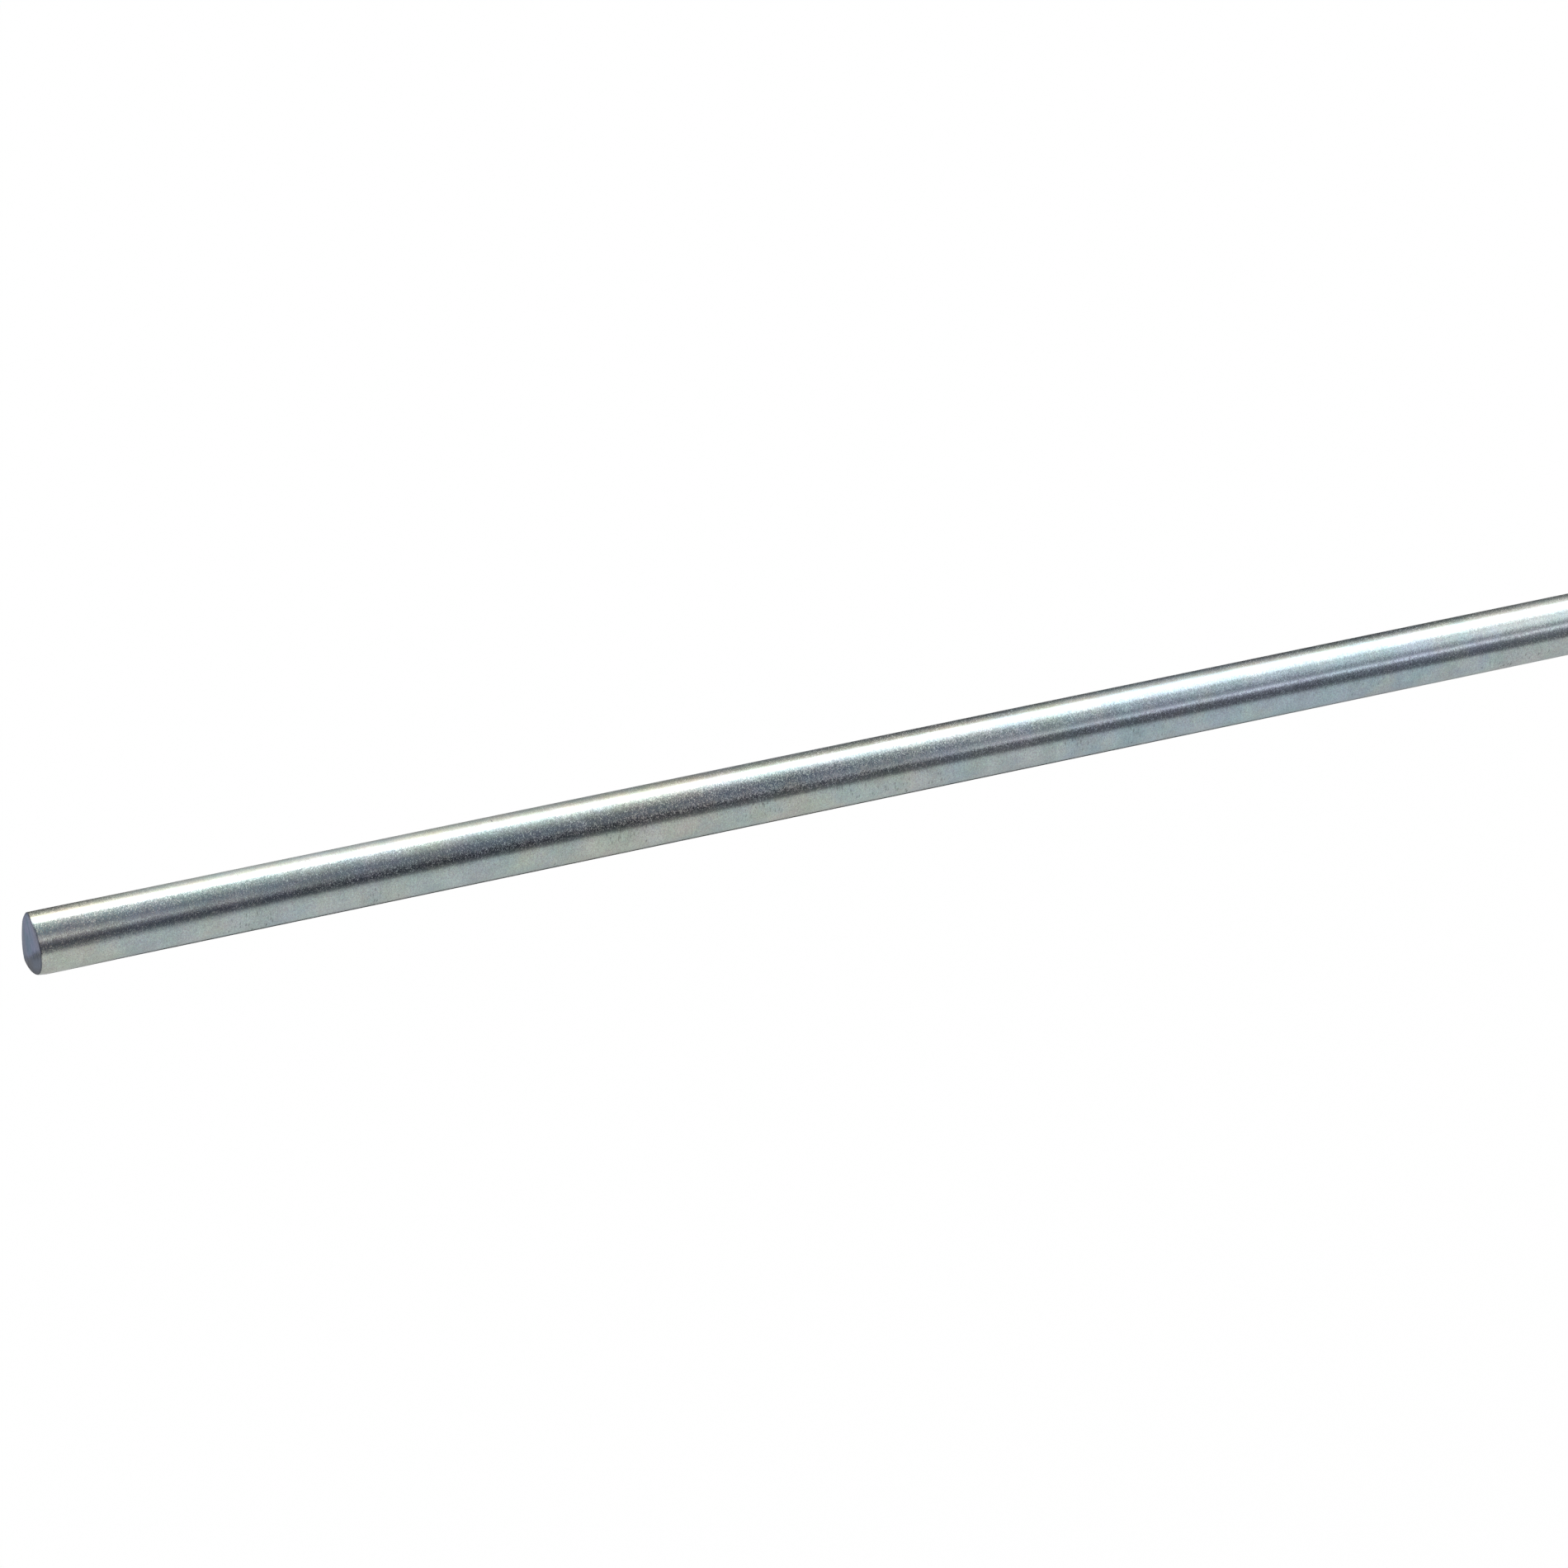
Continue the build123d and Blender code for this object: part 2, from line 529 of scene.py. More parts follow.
def marks_group():
    """Short dark dashes round the bar, gathered at the knocks and rare elsewhere, and faint lines."""
    group, given, out = new_group(
        "plating_marks",
        [("Vector", "Vector", None), ("Rare", "Float", 0.010), ("Gathered", "Float", 0.60)],
        [("Dashes", "Float"), ("Lines", "Float")])
    short, long = 1 / DASH_APART, 1 / (DASH_APART * DASH_DRAWN_OUT)
    cells = add(group, "TexVoronoi", {"voronoi_dimensions": "3D", "feature": "F1"},
                Vector=vector_maths(group, "MULTIPLY", given["Vector"], (short, long, long)),
                Scale=1.0, Randomness=1.0)
    loose = clouds(group, given["Vector"], Scale=1 / LOOSE_WIDTH, **LINE_NOISE)
    gathered = between(group, loose, LOOSE_LOW, LOOSE_HIGH, 0.0, LOOSE_SHARE)
    for along, height, reach in KNOCKS:
        outward = height * up_blade + math.sqrt(1 - height * height) * across_blade
        centre = Vector((cropped_x + along, 0, 0)) + bar_radius * outward
        off = vector_maths(group, "SUBTRACT", given["Vector"], centre)
        off = vector_maths(group, "MULTIPLY", off, (1 / reach, 1 / KNOCK_REACH_ROUND, 1 / KNOCK_REACH_ROUND))
        near = between(group, vector_maths(group, "LENGTH", off), 1.0, KNOCK_CORE)
        gathered = maths(group, "MAXIMUM", gathered, near)
    share = maths(group, "ADD", given["Rare"], maths(group, "MULTIPLY", gathered, given["Gathered"]))
    kind = parts(group, cells.outputs["Color"])
    chosen = maths(group, "LESS_THAN", kind["X"], share)
    shape = between(group, cells.outputs["Distance"], DASH_EDGE, DASH_CORE)
    depth = between(group, kind["Y"], 0.0, 1.0, FAINTEST_DASH, 1.0, smooth=False)
    join(group, product(group, chosen, shape, depth), out["Dashes"])
    short, long = 1 / LINE_APART, 1 / LINE_LENGTH
    lines = clouds(group, vector_maths(group, "MULTIPLY", given["Vector"], (short, long, long)),
                   Scale=1.0, **LINE_NOISE)
    join(group, between(group, lines, LINE_LOW, LINE_HIGH, -1.0, 1.0, smooth=False), out["Lines"])
    return group


# Barrel
SPECKLE = 0.17                  # how much lighter or darker one crystal is
CRYSTAL_TINT = 0.10
LINE_DEPTH = 0.05
DASH_DARK = 0.50
DASH_ROUGHER = 0.15
ROUGH_LOW, ROUGH_HIGH = 0.18, 0.48
FEW_ROUGH = 4.0                 # the higher, the fewer crystals are rough
ZINC_OUTLINE = 0.72
END_WARMTH, END_WARM_LENGTH = 0.5, 14 * MM
# Painted shade: a dark line on the barrel just behind the cut, along the rim, weaker low down towards the
# band
RIM_LINE_SHADE = (0.085, 0.09, 0.105, 1)
RIM_LINE_GONE, RIM_LINE_WHOLE = 0.22 * MM, 0.10 * MM
RIM_LINE_ON_BAND, RIM_LINE_ELSEWHERE = 0.15, 0.8
RIM_LINE_BAND_UNTIL, RIM_LINE_ELSEWHERE_FROM = -0.55, -0.35


def barrel_material(crystals, tint, marks, cut):
    """Bright zinc plating on the drawn bar."""
    mat, tree, shader = metal("zinc_barrel", ZINC_OUTLINE)
    place_on_rod = on_piece(tree)
    grain = place(tree, crystals, Vector=place_on_rod, Crystal_Size=CRYSTAL, Drawn_Out=DRAWN_OUT, Lean=LEAN)
    marked = place(tree, marks, Vector=place_on_rod)
    end = place(tree, cut, Vector=place_on_rod)
    warmth = between(tree, end["Behind"], END_WARM_LENGTH, 0.0, 0.0, END_WARMTH)
    colour = place(tree, tint, Vector=place_on_rod, Warmth=warmth)["Color"]
    # each crystal a little lighter or darker, and a little of its own tint
    speckle = between(tree, grain["Other"], 0, 1, 1 - SPECKLE, 1 + SPECKLE, smooth=False)
    colour = scaled(tree, colour, speckle)
    own = vector_maths(tree, "ADD", scaled(tree, grain["Tint"], CRYSTAL_TINT), (1 - CRYSTAL_TINT / 2,) * 3)
    colour = vector_maths(tree, "MULTIPLY", colour, own)
    # faint lines and dark dashes round the bar
    lines = maths(tree, "ADD", 1.0, maths(tree, "MULTIPLY", marked["Lines"], LINE_DEPTH))
    dark = maths(tree, "SUBTRACT", lines, maths(tree, "MULTIPLY", marked["Dashes"], DASH_DARK))
    colour = scaled(tree, colour, dark)
    # painted shade: a dark line along the rim, just behind the cut
    rim_line_shade = between(tree, end["Behind"], RIM_LINE_GONE, RIM_LINE_WHOLE)
    rim_line_shade = product(tree, rim_line_shade, between(tree, end["Height"], RIM_LINE_BAND_UNTIL, RIM_LINE_ELSEWHERE_FROM,
                                       RIM_LINE_ON_BAND, RIM_LINE_ELSEWHERE))
    join(tree, blend(tree, rim_line_shade, colour, RIM_LINE_SHADE), shader["Base Color"])
    rough = maths(tree, "POWER", grain["Crystal"], FEW_ROUGH)
    rough = between(tree, rough, 0, 1, ROUGH_LOW, ROUGH_HIGH, smooth=False)
    rougher = maths(tree, "MULTIPLY", marked["Dashes"], DASH_ROUGHER)
    join(tree, maths(tree, "ADD", rough, rougher), shader["Roughness"])
    join(tree, grain["Normal"], shader["Normal"])
    return mat


# Cropped face, with its two sides called near and far
TORN_LAVENDER = (0.212, 0.236, 0.340, 1)
TORN_TEAL = (0.158, 0.214, 0.290, 1)
TORN_NEAR = (0.202, 0.216, 0.285, 1)
TORN_FAR = (0.200, 0.226, 0.290, 1)
# The band is darker partly for its burnished finish and partly as painted shade for its downward lean
BAND_NEAR = (0.090, 0.112, 0.156, 1)
BAND_FAR = (0.084, 0.091, 0.112, 1)
BAND_FOOT = (0.076, 0.086, 0.108, 1)
# Its patches, in bar radii: how wide across the blade's path, and how long along it
TEARS = {"across": 0.055, "along": 0.7}
SMEARS = {"across": 0.12, "along": 0.5, "seed": 4.0}
TEAL_PATCHES = {"across": 0.6, "along": 0.6, "low": 0.38, "high": 0.60, "seed": 9.0}
FLECKS = {"across": 0.10, "along": 0.28, "low": 0.46, "high": 0.70, "seed": 13.0}
# Where each colour or shade starts and where it is whole, by side, height or distance out, in bar radii
TEAL_SIDES = (0.55, 0.15)
TORN_NEAR_SIDES, TORN_FAR_SIDES = (0.35, 0.85), (-0.40, -0.75)
BAND_NEAR_SIDES = (-0.6, 0.1)
BAND_FOOT_HEIGHTS = (-0.70, -0.92)
TORN_HEIGHTS = (band_start / bar_radius - 0.02, band_start / bar_radius + 0.24)
LEDGE_MIDDLE, LEDGE_REACH = band_start / bar_radius + 0.07, (0.15, 0.02)
LEDGE_SIDES = (-0.35, 0.25)
FLECK_HEIGHTS, FLECK_SIDES = (-0.25, -0.5), (0.2, -0.2)
RIM_REACH = (0.90, 0.985)
BAND_EDGE_TILT = 0.10
BAND_EDGE_WANDER = 0.07
# How much painted shade the ledge and the rim get, and how dark the flecks are
LEDGE_SHADE, FLECK_DARK, RIM_SHADE = 0.44, 0.38, 0.35
TEAR_SHADE, SMEAR_SHADE = 0.10, 0.07
BAND_ROUGHNESS, TORN_ROUGHNESS = 0.34, 0.50
TEAR_BUMP, TEAR_DEPTH = 0.5, 0.02 * MM
STEEL_OUTLINE = 0.7


def cropped_face_material(cut):
    """Bare cropped steel: a torn face over a burnished band, with a ledge between them."""
    mat, tree, shader = metal("cropped_steel", STEEL_OUTLINE)
    end = place(tree, cut, Vector=on_piece(tree))
    height, side = end["Height"], end["Side"]
    on_face = add(tree, "CombineXYZ", X=side, Y=height).outputs[0]

    def patches(across, along, low=PATCH_LOW, high=PATCH_HIGH, seed=0.0):
        """Noise on the face, of this width across the blade's path and this length along it."""
        where = vector_maths(tree, "MULTIPLY", on_face, (1 / across, 1 / along, 1))
        where = vector_maths(tree, "ADD", where, (seed, seed, seed))
        return between(tree, clouds(tree, where, Scale=1.0, **PATCH_NOISE), low, high)

    tears, smears = patches(**TEARS), patches(**SMEARS)
    # torn face: lavender grey, teal towards the middle, greyer at both sides
    teal = product(tree, patches(**TEAL_PATCHES), between(tree, side, *TEAL_SIDES))
    torn = blend(tree, teal, TORN_LAVENDER, TORN_TEAL)
    torn = blend(tree, between(tree, side, *TORN_NEAR_SIDES), torn, TORN_NEAR)
    torn = blend(tree, between(tree, side, *TORN_FAR_SIDES), torn, TORN_FAR)
    # burnished band: darker and bluer, partly its own finish and partly painted shade for its downward lean;
    # greyer on the far side and at its foot
    band = blend(tree, between(tree, side, *BAND_NEAR_SIDES), BAND_FAR, BAND_NEAR)
    band = blend(tree, between(tree, height, *BAND_FOOT_HEIGHTS), band, BAND_FOOT)
    # the line where one gives way to the other tilts and wanders
    wander = between(tree, smears, 0, 1, -BAND_EDGE_WANDER, BAND_EDGE_WANDER, smooth=False)
    tilted = maths(tree, "SUBTRACT", height, maths(tree, "MULTIPLY", side, BAND_EDGE_TILT))
    over_band = between(tree, maths(tree, "ADD", tilted, wander), *TORN_HEIGHTS)
    colour = blend(tree, over_band, band, torn)
    # painted shade: the ledge between them is darkened on the near side
    off_ledge = maths(tree, "SUBTRACT", maths(tree, "ADD", height, wander), LEDGE_MIDDLE)
    ledge = between(tree, maths(tree, "ABSOLUTE", off_ledge), *LEDGE_REACH)
    ledge = product(tree, ledge, between(tree, side, *LEDGE_SIDES))
    # dark flecks gather low on the far side
    low_and_far = product(tree, between(tree, height, *FLECK_HEIGHTS), between(tree, side, *FLECK_SIDES))
    flecks = product(tree, patches(**FLECKS), low_and_far)
    # painted shade: the cropped face darkens towards its rim, at the rolled edge
    rim = between(tree, end["Out"], *RIM_REACH)
    # painted shade at the ledge and rim, times the face's own flecks, tears and smears
    shade = product(tree, lessened(tree, ledge, LEDGE_SHADE), lessened(tree, flecks, FLECK_DARK),
                    lessened(tree, rim, RIM_SHADE),
                    between(tree, tears, 0, 1, 1 - TEAR_SHADE, 1 + TEAR_SHADE, smooth=False),
                    between(tree, smears, 0, 1, 1 - SMEAR_SHADE, 1 + SMEAR_SHADE, smooth=False))
    join(tree, scaled(tree, colour, shade), shader["Base Color"])
    join(tree, between(tree, over_band, 0, 1, BAND_ROUGHNESS, TORN_ROUGHNESS), shader["Roughness"])
    bump = add(tree, "Bump", Strength=TEAR_BUMP, Distance=TEAR_DEPTH, Height=tears)
    join(tree, bump.outputs[0], shader["Normal"])
    return mat


# Plain end: plated over saw lines that run across it
SAWN_CRYSTAL, SAWN_DRAWN_OUT, SAWN_LEAN = 0.14 * MM, 1.0, 0.07
SAW_LINE = (1 * MM, 5 * MM, 0.11 * MM)     # size along X, Y and Z
SAW_NOISE = {"Detail": 3.0, "Roughness": 0.65}
SAW_DARK, SAW_LIGHT = 0.72, 1.12
SAWN_ROUGH_LOW, SAWN_ROUGH_HIGH = 0.26, 0.42
SAW_BUMP, SAW_DEPTH = 0.9, 0.03 * MM


def plain_face_material(crystals, tint):
    """The same plating over the fine lines of a saw."""
    mat, tree, shader = metal("zinc_plain_end")
    place_on_rod = on_piece(tree)
    grain = place(tree, crystals, Vector=place_on_rod, Crystal_Size=SAWN_CRYSTAL,
                  Drawn_Out=SAWN_DRAWN_OUT, Lean=SAWN_LEAN)
    colour = place(tree, tint, Vector=place_on_rod)["Color"]
    where = vector_maths(tree, "MULTIPLY", place_on_rod, tuple(1 / size for size in SAW_LINE))
    saw = between(tree, clouds(tree, where, Scale=1.0, **SAW_NOISE), LINE_LOW, LINE_HIGH, smooth=False)
    lines = between(tree, saw, 0, 1, SAW_DARK, SAW_LIGHT, smooth=False)
    join(tree, scaled(tree, colour, lines), shader["Base Color"])
    rough = between(tree, grain["Crystal"], 0, 1, SAWN_ROUGH_LOW, SAWN_ROUGH_HIGH, smooth=False)
    join(tree, rough, shader["Roughness"])
    bump = add(tree, "Bump", Strength=SAW_BUMP, Distance=SAW_DEPTH, Height=saw, Normal=grain["Normal"])
    join(tree, bump.outputs[0], shader["Normal"])
    return mat


rod = make_rod()
crystals, tint, marks, cut = crystal_group(), tint_group(), marks_group(), cut_group()
for finish in (barrel_material(crystals, tint, marks, cut), cropped_face_material(cut),
               plain_face_material(crystals, tint)):
    rod.data.materials.append(finish)
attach(rod, "root")
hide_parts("rod")


# ---------------------------------------------------------------- studio

FLOOR_RADIUS = 30
FLOOR_SEGMENTS = 96
FLOOR_GAP = 0.19        # how far below the rod the floor lies
FLOOR_SELF = 0.75       # the floor's own white, and the rest of it is lit
FLOOR_LIT = 0.25

# The light tent, as angles from the near floor up over the rod to the far floor
TENT_RADIUS = 0.6
TENT_HALF_LENGTH = 3.0
TENT_LOW, TENT_HIGH = -20.0, 200.0
TENT_STEPS = 110

# Cloth of the tent: its colour by angle, at a few stations along the rod, from beyond the cropped end on
WHITE = (1, 1, 1)
SHEEN = (3.6, 3.6, 3.6)
TENT = (
    (-0.41, (
        (-20, WHITE), (-17, WHITE), (-10, (0.17, 0.17, 0.20)), (4, (0.15, 0.15, 0.18)),
        (21, (0.16, 0.16, 0.20)), (30, (0.26, 0.25, 0.30)), (41, (1.5, 1.42, 1.48)),
        (57, (0.36, 0.39, 0.50)), (80, (0.41, 0.50, 0.62)), (105, (1.0, 1.08, 1.1)),
        (113, (3.0, 3.0, 2.9)), (119, SHEEN), (134, SHEEN), (145, (1.0, 0.98, 0.92)),
        (158, (0.40, 0.42, 0.42)), (186, (0.20, 0.20, 0.21)))),
    (-0.336, (
        (-20, WHITE), (-17, WHITE), (-10, (0.16, 0.17, 0.22)), (4, (0.15, 0.16, 0.22)),
        (13, (0.16, 0.17, 0.24)), (21, (0.31, 0.30, 0.39)), (30, (0.76, 0.72, 0.84)),
        (38, (2.0, 1.92, 1.97)), (44, (1.2, 1.2, 1.28)), (57, (0.42, 0.45, 0.58)),
        (70, (0.34, 0.41, 0.54)), (80, (0.41, 0.50, 0.62)), (89, (0.59, 0.69, 0.80)),
        (97, (0.80, 0.92, 0.98)), (105, (1.0, 1.08, 1.1)), (113, (3.2, 3.2, 3.0)), (119, SHEEN),
        (134, SHEEN), (144, (0.93, 0.91, 0.85)), (156, (0.37, 0.39, 0.39)), (170, (0.21, 0.21, 0.22)),
        (186, (0.11, 0.11, 0.12)))),
    (-0.31, (
        (-20, WHITE), (-6, WHITE), (-1, (0.32, 0.32, 0.34)), (8, (0.10, 0.10, 0.11)),
        (20, (0.0, 0.0, 0.01)), (38, (0.0, 0.0, 0.01)), (45, (0.03, 0.03, 0.06)),
        (51, (0.25, 0.25, 0.31)), (58, (0.29, 0.29, 0.36)), (68, (0.34, 0.35, 0.41)),
        (78, (0.55, 0.57, 0.62)), (87, (0.76, 0.78, 0.82)), (94, (0.92, 0.96, 0.98)),
        (100, (0.95, 0.98, 0.98)), (107, (1.6, 1.58, 1.6)), (114, SHEEN), (142, SHEEN),
        (149, (2.6, 2.5, 2.4)), (158, (2.2, 2.15, 2.1)), (168, (1.6, 1.6, 1.55)),
        (186, (0.95, 0.95, 0.93)))),
    (-0.25, (
        (-20, WHITE), (-5, WHITE), (0, (0.45, 0.45, 0.44)), (8, (0.14, 0.14, 0.15)),
        (20, (0.0, 0.0, 0.01)), (32, (0.0, 0.0, 0.02)), (39, (0.08, 0.08, 0.12)),
        (46, (0.22, 0.23, 0.29)), (58, (0.30, 0.30, 0.37)), (68, (0.70, 0.66, 0.64)),
        (78, (1.2, 1.14, 1.06)), (87, (1.2, 1.1, 1.0)), (94, (1.5, 1.4, 1.3)), (100, (2.0, 1.9, 1.85)),
        (107, (3.4, 3.4, 3.4)), (110, SHEEN), (135, SHEEN), (143, (1.75, 1.68, 1.57)),
        (155, (1.35, 1.32, 1.23)), (166, (0.93, 0.91, 0.87)), (186, (0.64, 0.64, 0.62)))),
    (-0.20, (
        (-20, WHITE), (-8, WHITE), (-1, (0.17, 0.17, 0.19)), (12, (0.17, 0.17, 0.20)),
        (22, (0.02, 0.02, 0.04)), (30, (0.0, 0.0, 0.05)), (39, (0.21, 0.22, 0.33)),
        (48, (0.07, 0.09, 0.20)), (58, (0.0, 0.02, 0.13)), (68, (0.0, 0.01, 0.13)),
        (78, (0.0, 0.02, 0.16)), (87, (0.42, 0.57, 0.74)), (94, (1.25, 1.5, 1.7)),
        (101, (2.6, 2.75, 2.85)), (106, SHEEN), (127, SHEEN), (135, (1.25, 1.2, 1.05)),
        (148, (0.68, 0.67, 0.62)), (160, (0.50, 0.50, 0.48)), (172, (0.44, 0.44, 0.44)),
        (186, (0.43, 0.44, 0.48)))),
    (-0.155, (
        (-20, WHITE), (-11.5, WHITE), (-4.5, (0.15, 0.15, 0.17)), (4, (0.20, 0.20, 0.22)),
        (12, (0.22, 0.22, 0.25)), (22, (0.15, 0.15, 0.19)), (30, (0.45, 0.43, 0.48)),
        (38, (0.86, 0.84, 0.90)), (47, (0.57, 0.57, 0.63)), (57, (0.45, 0.46, 0.53)),
        (68, (0.48, 0.50, 0.55)), (78, (0.64, 0.66, 0.68)), (85, (1.25, 1.22, 1.22)),
        (91, (2.1, 2.0, 2.05)), (98, (3.2, 3.2, 3.2)), (104, SHEEN), (126, SHEEN),
        (136, (0.95, 0.86, 0.70)), (148, (0.62, 0.60, 0.56)), (158, (0.38, 0.38, 0.37)),
        (168, (0.20, 0.20, 0.21)), (186, (0.08, 0.08, 0.09)))),
    (-0.11, (
        (-20, WHITE), (-14, WHITE), (-8, (0.16, 0.13, 0.13)), (4, (0.21, 0.17, 0.18)),
        (12, (0.17, 0.13, 0.12)), (22, (0.27, 0.22, 0.22)), (30, (1.3, 1.2, 1.15)),
        (38, (0.82, 0.79, 0.83)), (47, (0.46, 0.46, 0.50)), (57, (0.64, 0.61, 0.62)),
        (68, (0.98, 0.98, 0.93)), (78, (1.22, 1.22, 1.15)), (85, (2.65, 2.45, 2.35)), (91, SHEEN),
        (130, SHEEN), (138, (1.95, 1.78, 1.55)), (149, (1.6, 1.5, 1.42)), (160, (0.88, 0.87, 0.86)),
        (170, (0.40, 0.40, 0.40)), (186, (0.20, 0.20, 0.21)))),
    (-0.06, (
        (-20, WHITE), (-19, WHITE), (-14, (0.17, 0.16, 0.18)), (4, (0.18, 0.18, 0.21)),
        (12, (0.25, 0.25, 0.30)), (22, (0.46, 0.43, 0.47)), (30, (0.32, 0.26, 0.26)),
        (40, (0.52, 0.50, 0.54)), (47, (0.47, 0.44, 0.46)), (57, (0.95, 0.95, 1.0)),
        (68, (1.55, 1.55, 1.58)), (78, (1.55, 1.52, 1.5)), (84, (2.35, 2.35, 2.35)), (90, SHEEN),
        (125, SHEEN), (132, (1.75, 1.65, 1.5)), (142, (0.60, 0.58, 0.54)), (156, (0.18, 0.17, 0.17)),
        (172, (0.11, 0.11, 0.12)), (186, (0.08, 0.08, 0.09)))),
    (-0.01, (
        (-20, WHITE), (-19, WHITE), (-14, (0.17, 0.17, 0.20)), (3, (0.28, 0.28, 0.33)),
        (12, (0.42, 0.41, 0.47)), (22, (0.50, 0.50, 0.60)), (40, (0.52, 0.52, 0.58)),
        (47, (0.82, 0.82, 0.88)), (55, (1.95, 1.95, 1.95)), (66, (2.6, 2.6, 2.6)), (76, (2.0, 2.0, 2.0)),
        (83, (1.6, 1.6, 1.55)), (90, (3.0, 3.0, 3.0)), (95, SHEEN), (125, SHEEN),
        (133, (1.85, 1.82, 1.75)), (145, (1.45, 1.47, 1.45)), (158, (0.76, 0.77, 0.77)),
        (170, (0.42, 0.43, 0.43)), (186, (0.25, 0.25, 0.25)))))
# A narrow strip of brighter cloth low on the near side, which starts part of the way along
STRIP_ANGLE, STRIP_HALF_WIDTH = 29.0, 9.0
STRIP_FROM, STRIP_WHOLE = -0.16, -0.11
STRIP_COLOUR = (1.8, 1.68, 1.8, 1)
# The cloth beyond the lamp, on the far side, is a little creamier
CREAM_FROM, CREAM_WHOLE, CREAM_UNTIL, CREAM_GONE = 123.0, 134.0, 148.0, 168.0
CREAM = (1.09, 0.98, 0.90, 1)

# Painted shade on the floor behind the rod: a dark sheet seen only in the rod's polish, along its lowest
# edge
FLOOR_SHADE_FROM, FLOOR_SHADE_WHOLE, FLOOR_SHADE_TO = 0.075, 0.12, 0.55      # how far behind
FLOOR_SHADE_START = -0.43
FLOOR_SHADE_FADE, FLOOR_SHADE_GONE = -0.27, -0.15                          # it pales along the rod
FLOOR_SHADE_LIFT = 0.01
FLOOR_SHADE_PALE, FLOOR_SHADE_DARK = 1.0, 0.0

# Softbox over the rod, by the angles that it spans
LAMP_FROM, LAMP_TO = 106.0, 126.0
LAMP_DISTANCE = 0.55
LAMP_LENGTH = 5.0
LAMP_BRIGHTNESS = 3.6
LAMP_COLOUR = (0.96, 0.99, 1.06)

# Camera: a long lens over the near side, which looks across the rod and down, near its cropped end
LENS, SENSOR = 202.98, 36
CAMERA_SEES_TO = 200
CAMERA_AZIMUTH, CAMERA_ELEVATION = math.radians(-22.844), math.radians(29.614)
CAMERA_DISTANCE = 1.1325
CAMERA_AIM = Vector((cropped_x + 0.10163, 0, 0.00052))


def make_floor():
    """A wide white floor, which is its own white to the camera and in gloss."""
    bm = bmesh.new()
    bmesh.ops.create_circle(bm, cap_ends=True, segments=FLOOR_SEGMENTS, radius=FLOOR_RADIUS,
                            matrix=Matrix.Translation((0, 0, rod_low.z - FLOOR_GAP)))
    floor = finish_mesh(bm, "floor")
    mat, tree, surface = studio_material("pale_floor")
    path = add(tree, "LightPath").outputs
    seen = maths(tree, "ADD", path["Is Camera Ray"], path["Is Glossy Ray"])
    seen = maths(tree, "ADD", seen, path["Is Transmission Ray"])
    lit = add(tree, "BsdfDiffuse", Color=(FLOOR_LIT, FLOOR_LIT, FLOOR_LIT, 1))
    own = add(tree, "Emission", Strength=maths(tree, "MULTIPLY", seen, FLOOR_SELF))
    both = tree.nodes.new("ShaderNodeAddShader")
    join(tree, lit.outputs[0], both.inputs[0])
    join(tree, own.outputs[0], both.inputs[1])
    join(tree, both.outputs[0], surface)
    floor.data.materials.append(mat)


def make_world():
    """An even white world."""
    world = bpy.data.worlds.new("studio")
    bpy.context.scene.world = world
    world.use_nodes = True
    background = world.node_tree.nodes["Background"]
    background.inputs["Color"].default_value = (1, 1, 1, 1)
    background.inputs["Strength"].default_value = 1.0


def hang_cloth(bm, name):
    """A glowing cloth of this shape that only polished metal sees; gives back its nodes and its colour."""
    cloth = finish_mesh(bm, name)
    cloth.visible_camera = False
    cloth.visible_diffuse = False
    cloth.visible_shadow = False
    mat, tree, surface = studio_material(name)
    glow = add(tree, "Emission", Strength=1.0)
    join(tree, glow.outputs[0], surface)
    cloth.data.materials.append(mat)
    return tree, glow.inputs["Color"]


def make_tent():
    """A long tent of graded cloth round the rod, which only its polish sees."""
    bm = bmesh.new()
    start, span = math.radians(TENT_LOW), TENT_HIGH - TENT_LOW
    first = Vector((0, -TENT_RADIUS * math.cos(start), TENT_RADIUS * math.sin(start)))
    ends = [bm.verts.new((side * TENT_HALF_LENGTH, first.y, first.z)) for side in (-1, 1)]
    edge = bm.edges.new(ends)
    bmesh.ops.spin(bm, geom=ends + [edge], cent=(0, 0, 0), axis=(-1, 0, 0),
                   angle=math.radians(span), steps=TENT_STEPS)
    for face in bm.faces:
        face.smooth = True
    tree, glow = hang_cloth(bm, "light_tent")
    where = parts(tree, on_piece(tree))
    angle = maths(tree, "ARCTAN2", where["Z"], maths(tree, "MULTIPLY", where["Y"], -1.0))
    angle = maths(tree, "DEGREES", angle)
    # the far side's angles run on past the half turn
    past = maths(tree, "LESS_THAN", angle, -90.0)
    angle = maths(tree, "ADD", angle, maths(tree, "MULTIPLY", past, 360.0))
    share = maths(tree, "DIVIDE", maths(tree, "SUBTRACT", angle, TENT_LOW), span)

    def cloth(stops):
        """The cloth's colour all the way over, as it is at one station."""
        return ramp(tree, share, [((degrees - TENT_LOW) / span, colour) for degrees, colour in stops])

    (station, stops), *others = TENT
    colour = cloth(stops)
    for following, stops in others:
        reached = between(tree, where["X"], station, following, smooth=False)
        colour = blend(tree, reached, colour, cloth(stops))
        station = following
    off_strip = maths(tree, "ABSOLUTE", maths(tree, "SUBTRACT", angle, STRIP_ANGLE))
    strip = product(tree, between(tree, off_strip, STRIP_HALF_WIDTH, 0.0),
                    between(tree, where["X"], STRIP_FROM, STRIP_WHOLE))
    colour = blend(tree, strip, colour, STRIP_COLOUR, mode="ADD")
    cream = product(tree, between(tree, angle, CREAM_FROM, CREAM_WHOLE),
                    between(tree, angle, CREAM_GONE, CREAM_UNTIL))
    join(tree, blend(tree, cream, colour, CREAM, mode="MULTIPLY"), glow)


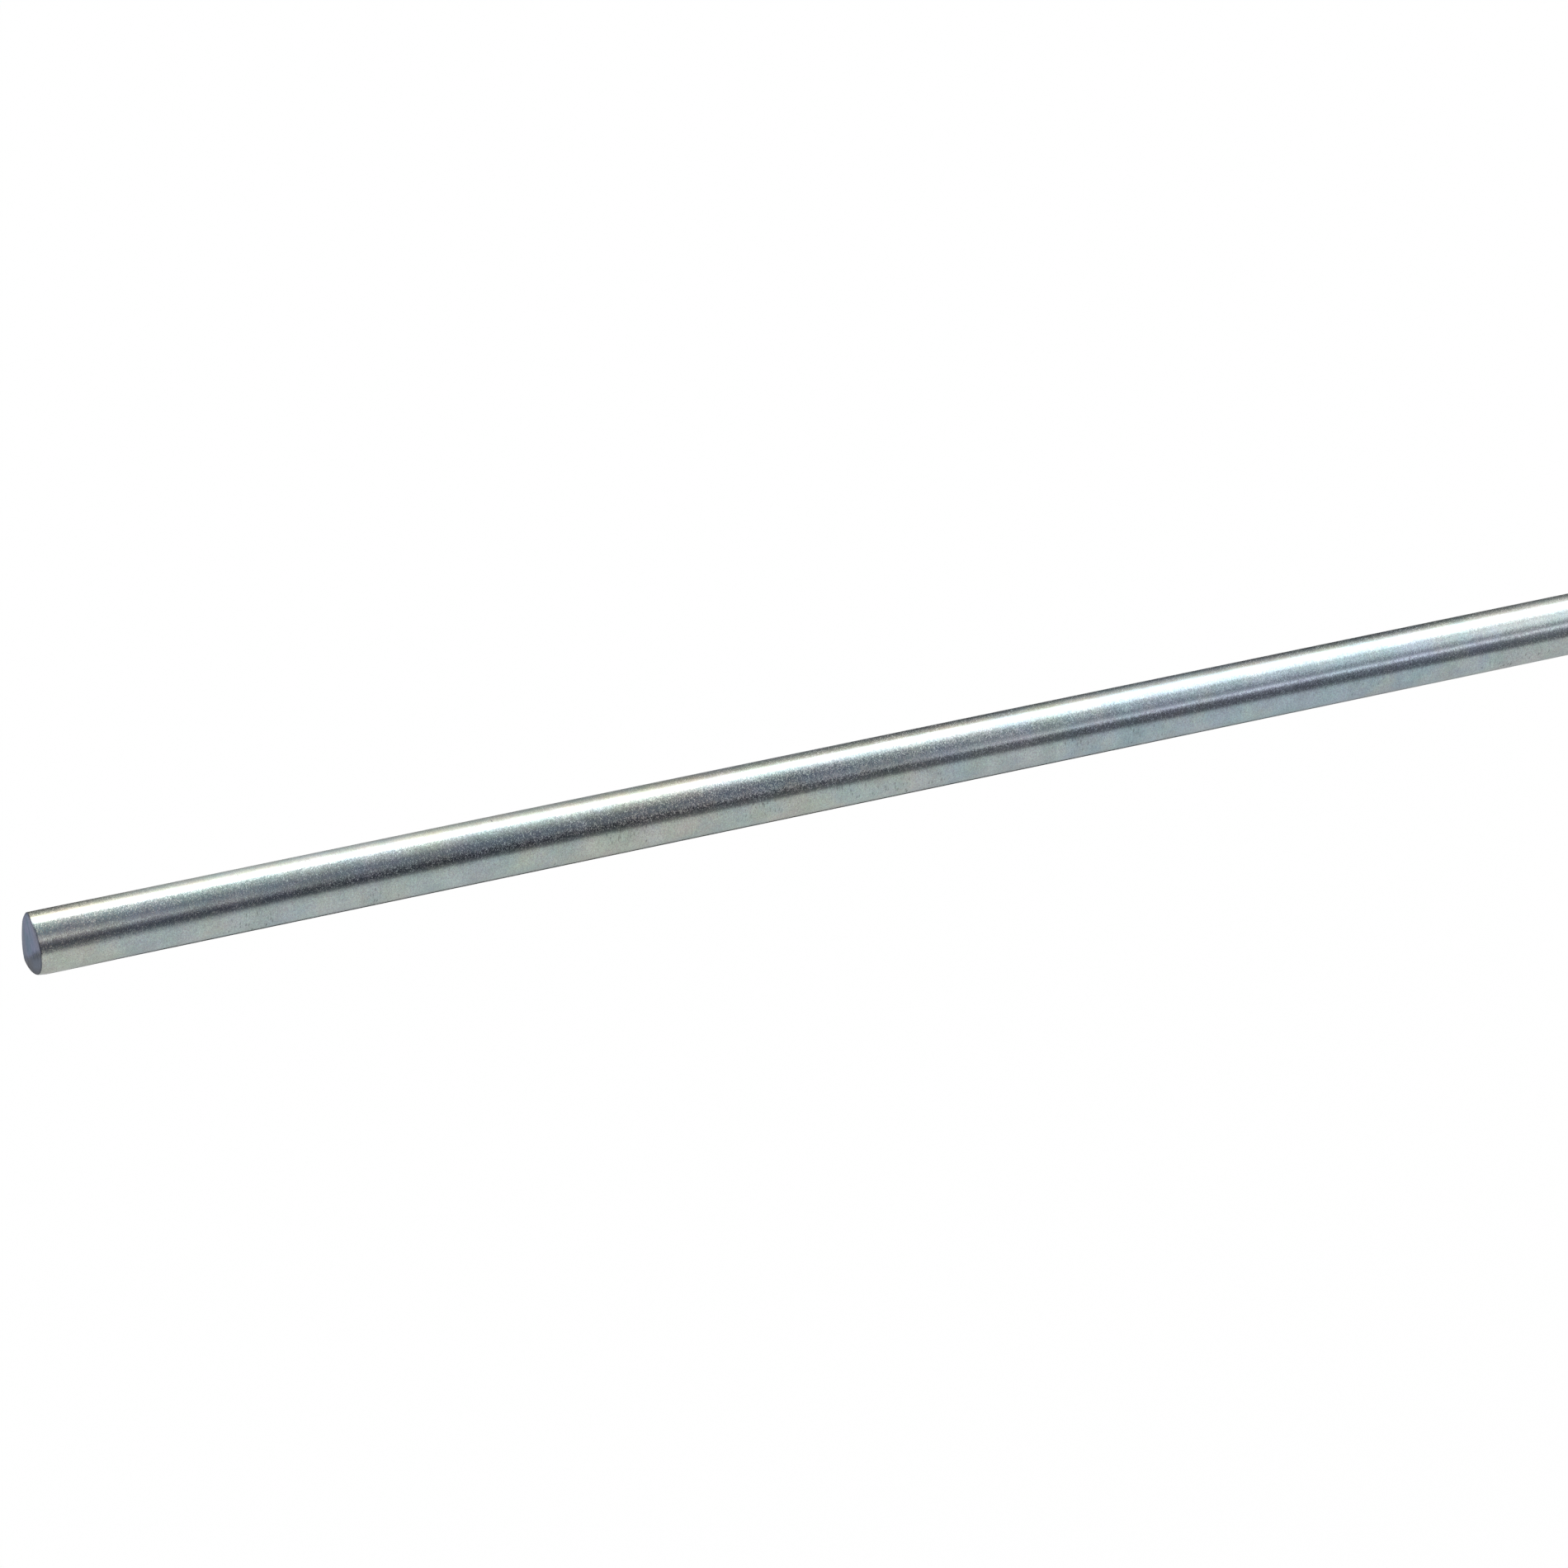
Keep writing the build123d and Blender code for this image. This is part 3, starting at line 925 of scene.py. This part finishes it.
def lay_painted_floor_shade():
    """Painted shade on the floor behind the rod, as a dark sheet: the rod's polish shows it as a thin dark
    line at the bottom.
    """
    bm = bmesh.new()
    half_length = (TENT_HALF_LENGTH - FLOOR_SHADE_START) / 2
    half_width = (FLOOR_SHADE_TO - FLOOR_SHADE_FROM) / 2
    middle = Vector((FLOOR_SHADE_START + half_length, FLOOR_SHADE_FROM + half_width,
                     rod_low.z - FLOOR_GAP + FLOOR_SHADE_LIFT))
    reach = Matrix.Diagonal((half_length, half_width, 1, 1))
    bmesh.ops.create_grid(bm, x_segments=1, y_segments=1, size=1, matrix=Matrix.Translation(middle) @ reach)
    tree, glow = hang_cloth(bm, "painted_floor_shade")
    where = parts(tree, on_piece(tree))
    shade = product(tree, between(tree, where["Y"], FLOOR_SHADE_FROM, FLOOR_SHADE_WHOLE),
                    between(tree, where["X"], FLOOR_SHADE_GONE, FLOOR_SHADE_FADE))
    join(tree, alike(tree, between(tree, shade, 0, 1, FLOOR_SHADE_PALE, FLOOR_SHADE_DARK, smooth=False)), glow)


def make_lamp():
    """The softbox over the rod, which gives the long highlight."""
    light = bpy.data.lights.new("overhead_softbox", "AREA")
    light.shape = "RECTANGLE"
    light.size = LAMP_LENGTH
    light.size_y = 2 * LAMP_DISTANCE * math.tan(math.radians(LAMP_TO - LAMP_FROM) / 2)
    light.energy = LAMP_BRIGHTNESS * math.pi * light.size * light.size_y
    light.color = LAMP_COLOUR
    lamp = bpy.data.objects.new("overhead_softbox", light)
    bpy.context.collection.objects.link(lamp)
    middle = math.radians((LAMP_FROM + LAMP_TO) / 2)
    lamp.location = (0, -LAMP_DISTANCE * math.cos(middle), LAMP_DISTANCE * math.sin(middle))
    lamp.rotation_euler = (math.radians(90) + middle - math.pi, 0, 0)
    lamp.visible_camera = False
    lamp.visible_diffuse = False


def make_camera():
    """The camera, held upright and without shift."""
    data = bpy.data.cameras.new("camera")
    data.lens = LENS
    data.sensor_width = SENSOR
    data.clip_end = CAMERA_SEES_TO
    cam = bpy.data.objects.new("camera", data)
    bpy.context.collection.objects.link(cam)
    back = Vector((math.sin(CAMERA_AZIMUTH) * math.cos(CAMERA_ELEVATION),
                   -math.cos(CAMERA_AZIMUTH) * math.cos(CAMERA_ELEVATION),
                   math.sin(CAMERA_ELEVATION)))
    cam.location = CAMERA_AIM + back * CAMERA_DISTANCE
    cam.rotation_mode = "QUATERNION"
    cam.rotation_quaternion = (-back).to_track_quat("-Z", "Y")
    bpy.context.scene.camera = cam


make_floor()
make_world()
make_tent()
lay_painted_floor_shade()
make_lamp()
make_camera()
bpy.context.scene.view_settings.view_transform = "Standard"
